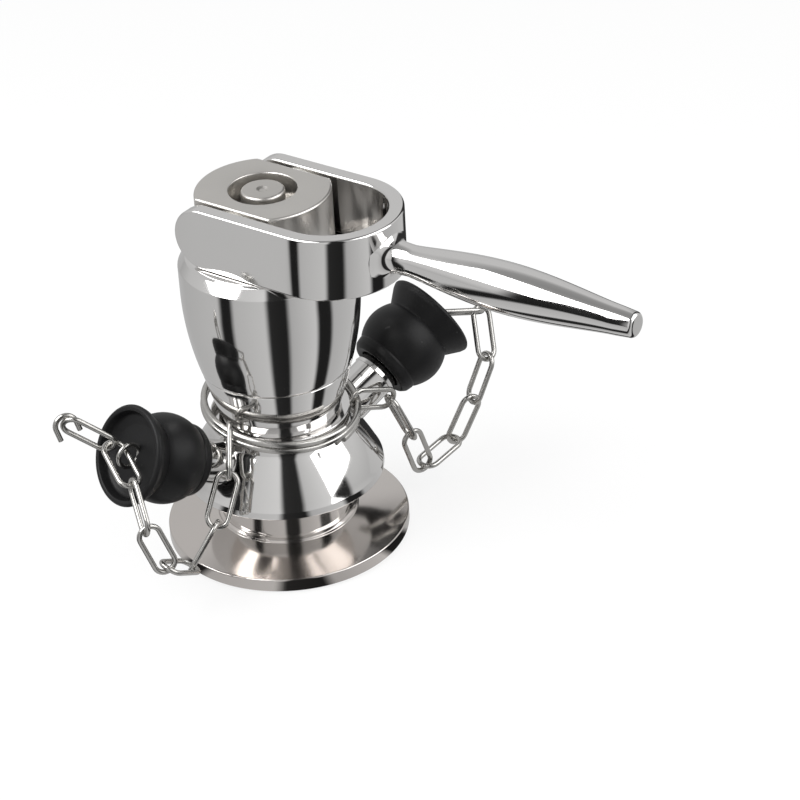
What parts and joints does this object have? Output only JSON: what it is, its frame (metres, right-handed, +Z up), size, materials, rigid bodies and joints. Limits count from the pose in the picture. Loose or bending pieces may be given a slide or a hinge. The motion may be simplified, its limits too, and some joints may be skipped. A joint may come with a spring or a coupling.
{
  "type": "sanitary sampling valve",
  "caption": "Clamp-mounted sanitary sampling valve: bell body, lift lever on a cam fork, sprung stem and two upswept hose barbs with chained rubber caps.",
  "frame": {"origin": "centre of the ferrule's sealing face, at the mouth of the inlet bore", "axes": "+Z up the valve axis towards the lever, +X the way the lever points, hose barbs near +Y and -Y"},
  "size_m": [0.1101, 0.0852, 0.0791],
  "materials": {
    "polished_steel": "mirror polished stainless steel",
    "turned_steel": "turned stainless steel",
    "spring_steel": "drawn spring steel",
    "steel_wire": "bright drawn stainless wire",
    "bush_plastic": "white bearing plastic",
    "seal_rubber": "food-grade elastomer",
    "cap_rubber": "semi-matt moulded black rubber"
  },
  "bodies": {
    "housing": {"clamp_ferrule": "polished_steel", "valve_body": "polished_steel", "bonnet_base": "polished_steel", "bonnet": "polished_steel", "lower_guide_bush": "bush_plastic", "upper_guide_bush": "bush_plastic", "spindle_seal": "seal_rubber", "left_hose_barb": "polished_steel", "right_hose_barb": "polished_steel", "return_spring": "spring_steel", "seat_membrane": "seal_rubber", "split_ring": "steel_wire"},
    "spindle": {"spindle": "turned_steel", "cross_pin": "turned_steel", "spring_collar": "turned_steel", "thrust_washers": "bush_plastic"},
    "lever": {"lever_yoke": "polished_steel", "handle_grip": "polished_steel"},
    "left_cap": {"left_cap": "cap_rubber", "left_cap_eye": "steel_wire"},
    "right_cap": {"right_cap": "cap_rubber", "right_cap_eye": "steel_wire"}
  },
  "joints": [
    {"name": "spindle_lift", "type": "slide", "parent": "housing", "child": "spindle", "axis": [0, 0, 1], "range_m": [0, 0.00305], "stiffness_N_per_m": 3000, "springref_m": -0.008, "deforming": ["return_spring", "seat_membrane"]},
    {"name": "lever_tilt", "type": "hinge", "parent": "spindle", "child": "lever", "pos_m": [0, 0, 0.0726], "axis": [0, -1, 0], "range_deg": [0, 35]},
    {"name": "left_cap_pull", "type": "slide", "parent": "housing", "child": "left_cap", "axis": [-0.2605, -0.8521, 0.454], "range_m": [0, 0.012]},
    {"name": "right_cap_pull", "type": "slide", "parent": "housing", "child": "right_cap", "axis": [0.2605, 0.8521, 0.454], "range_m": [0, 0.009]}
  ],
  "couplings": [
    {"joint": "lever_tilt", "follows": "spindle_lift", "rad_per_m": 200}
  ]
}
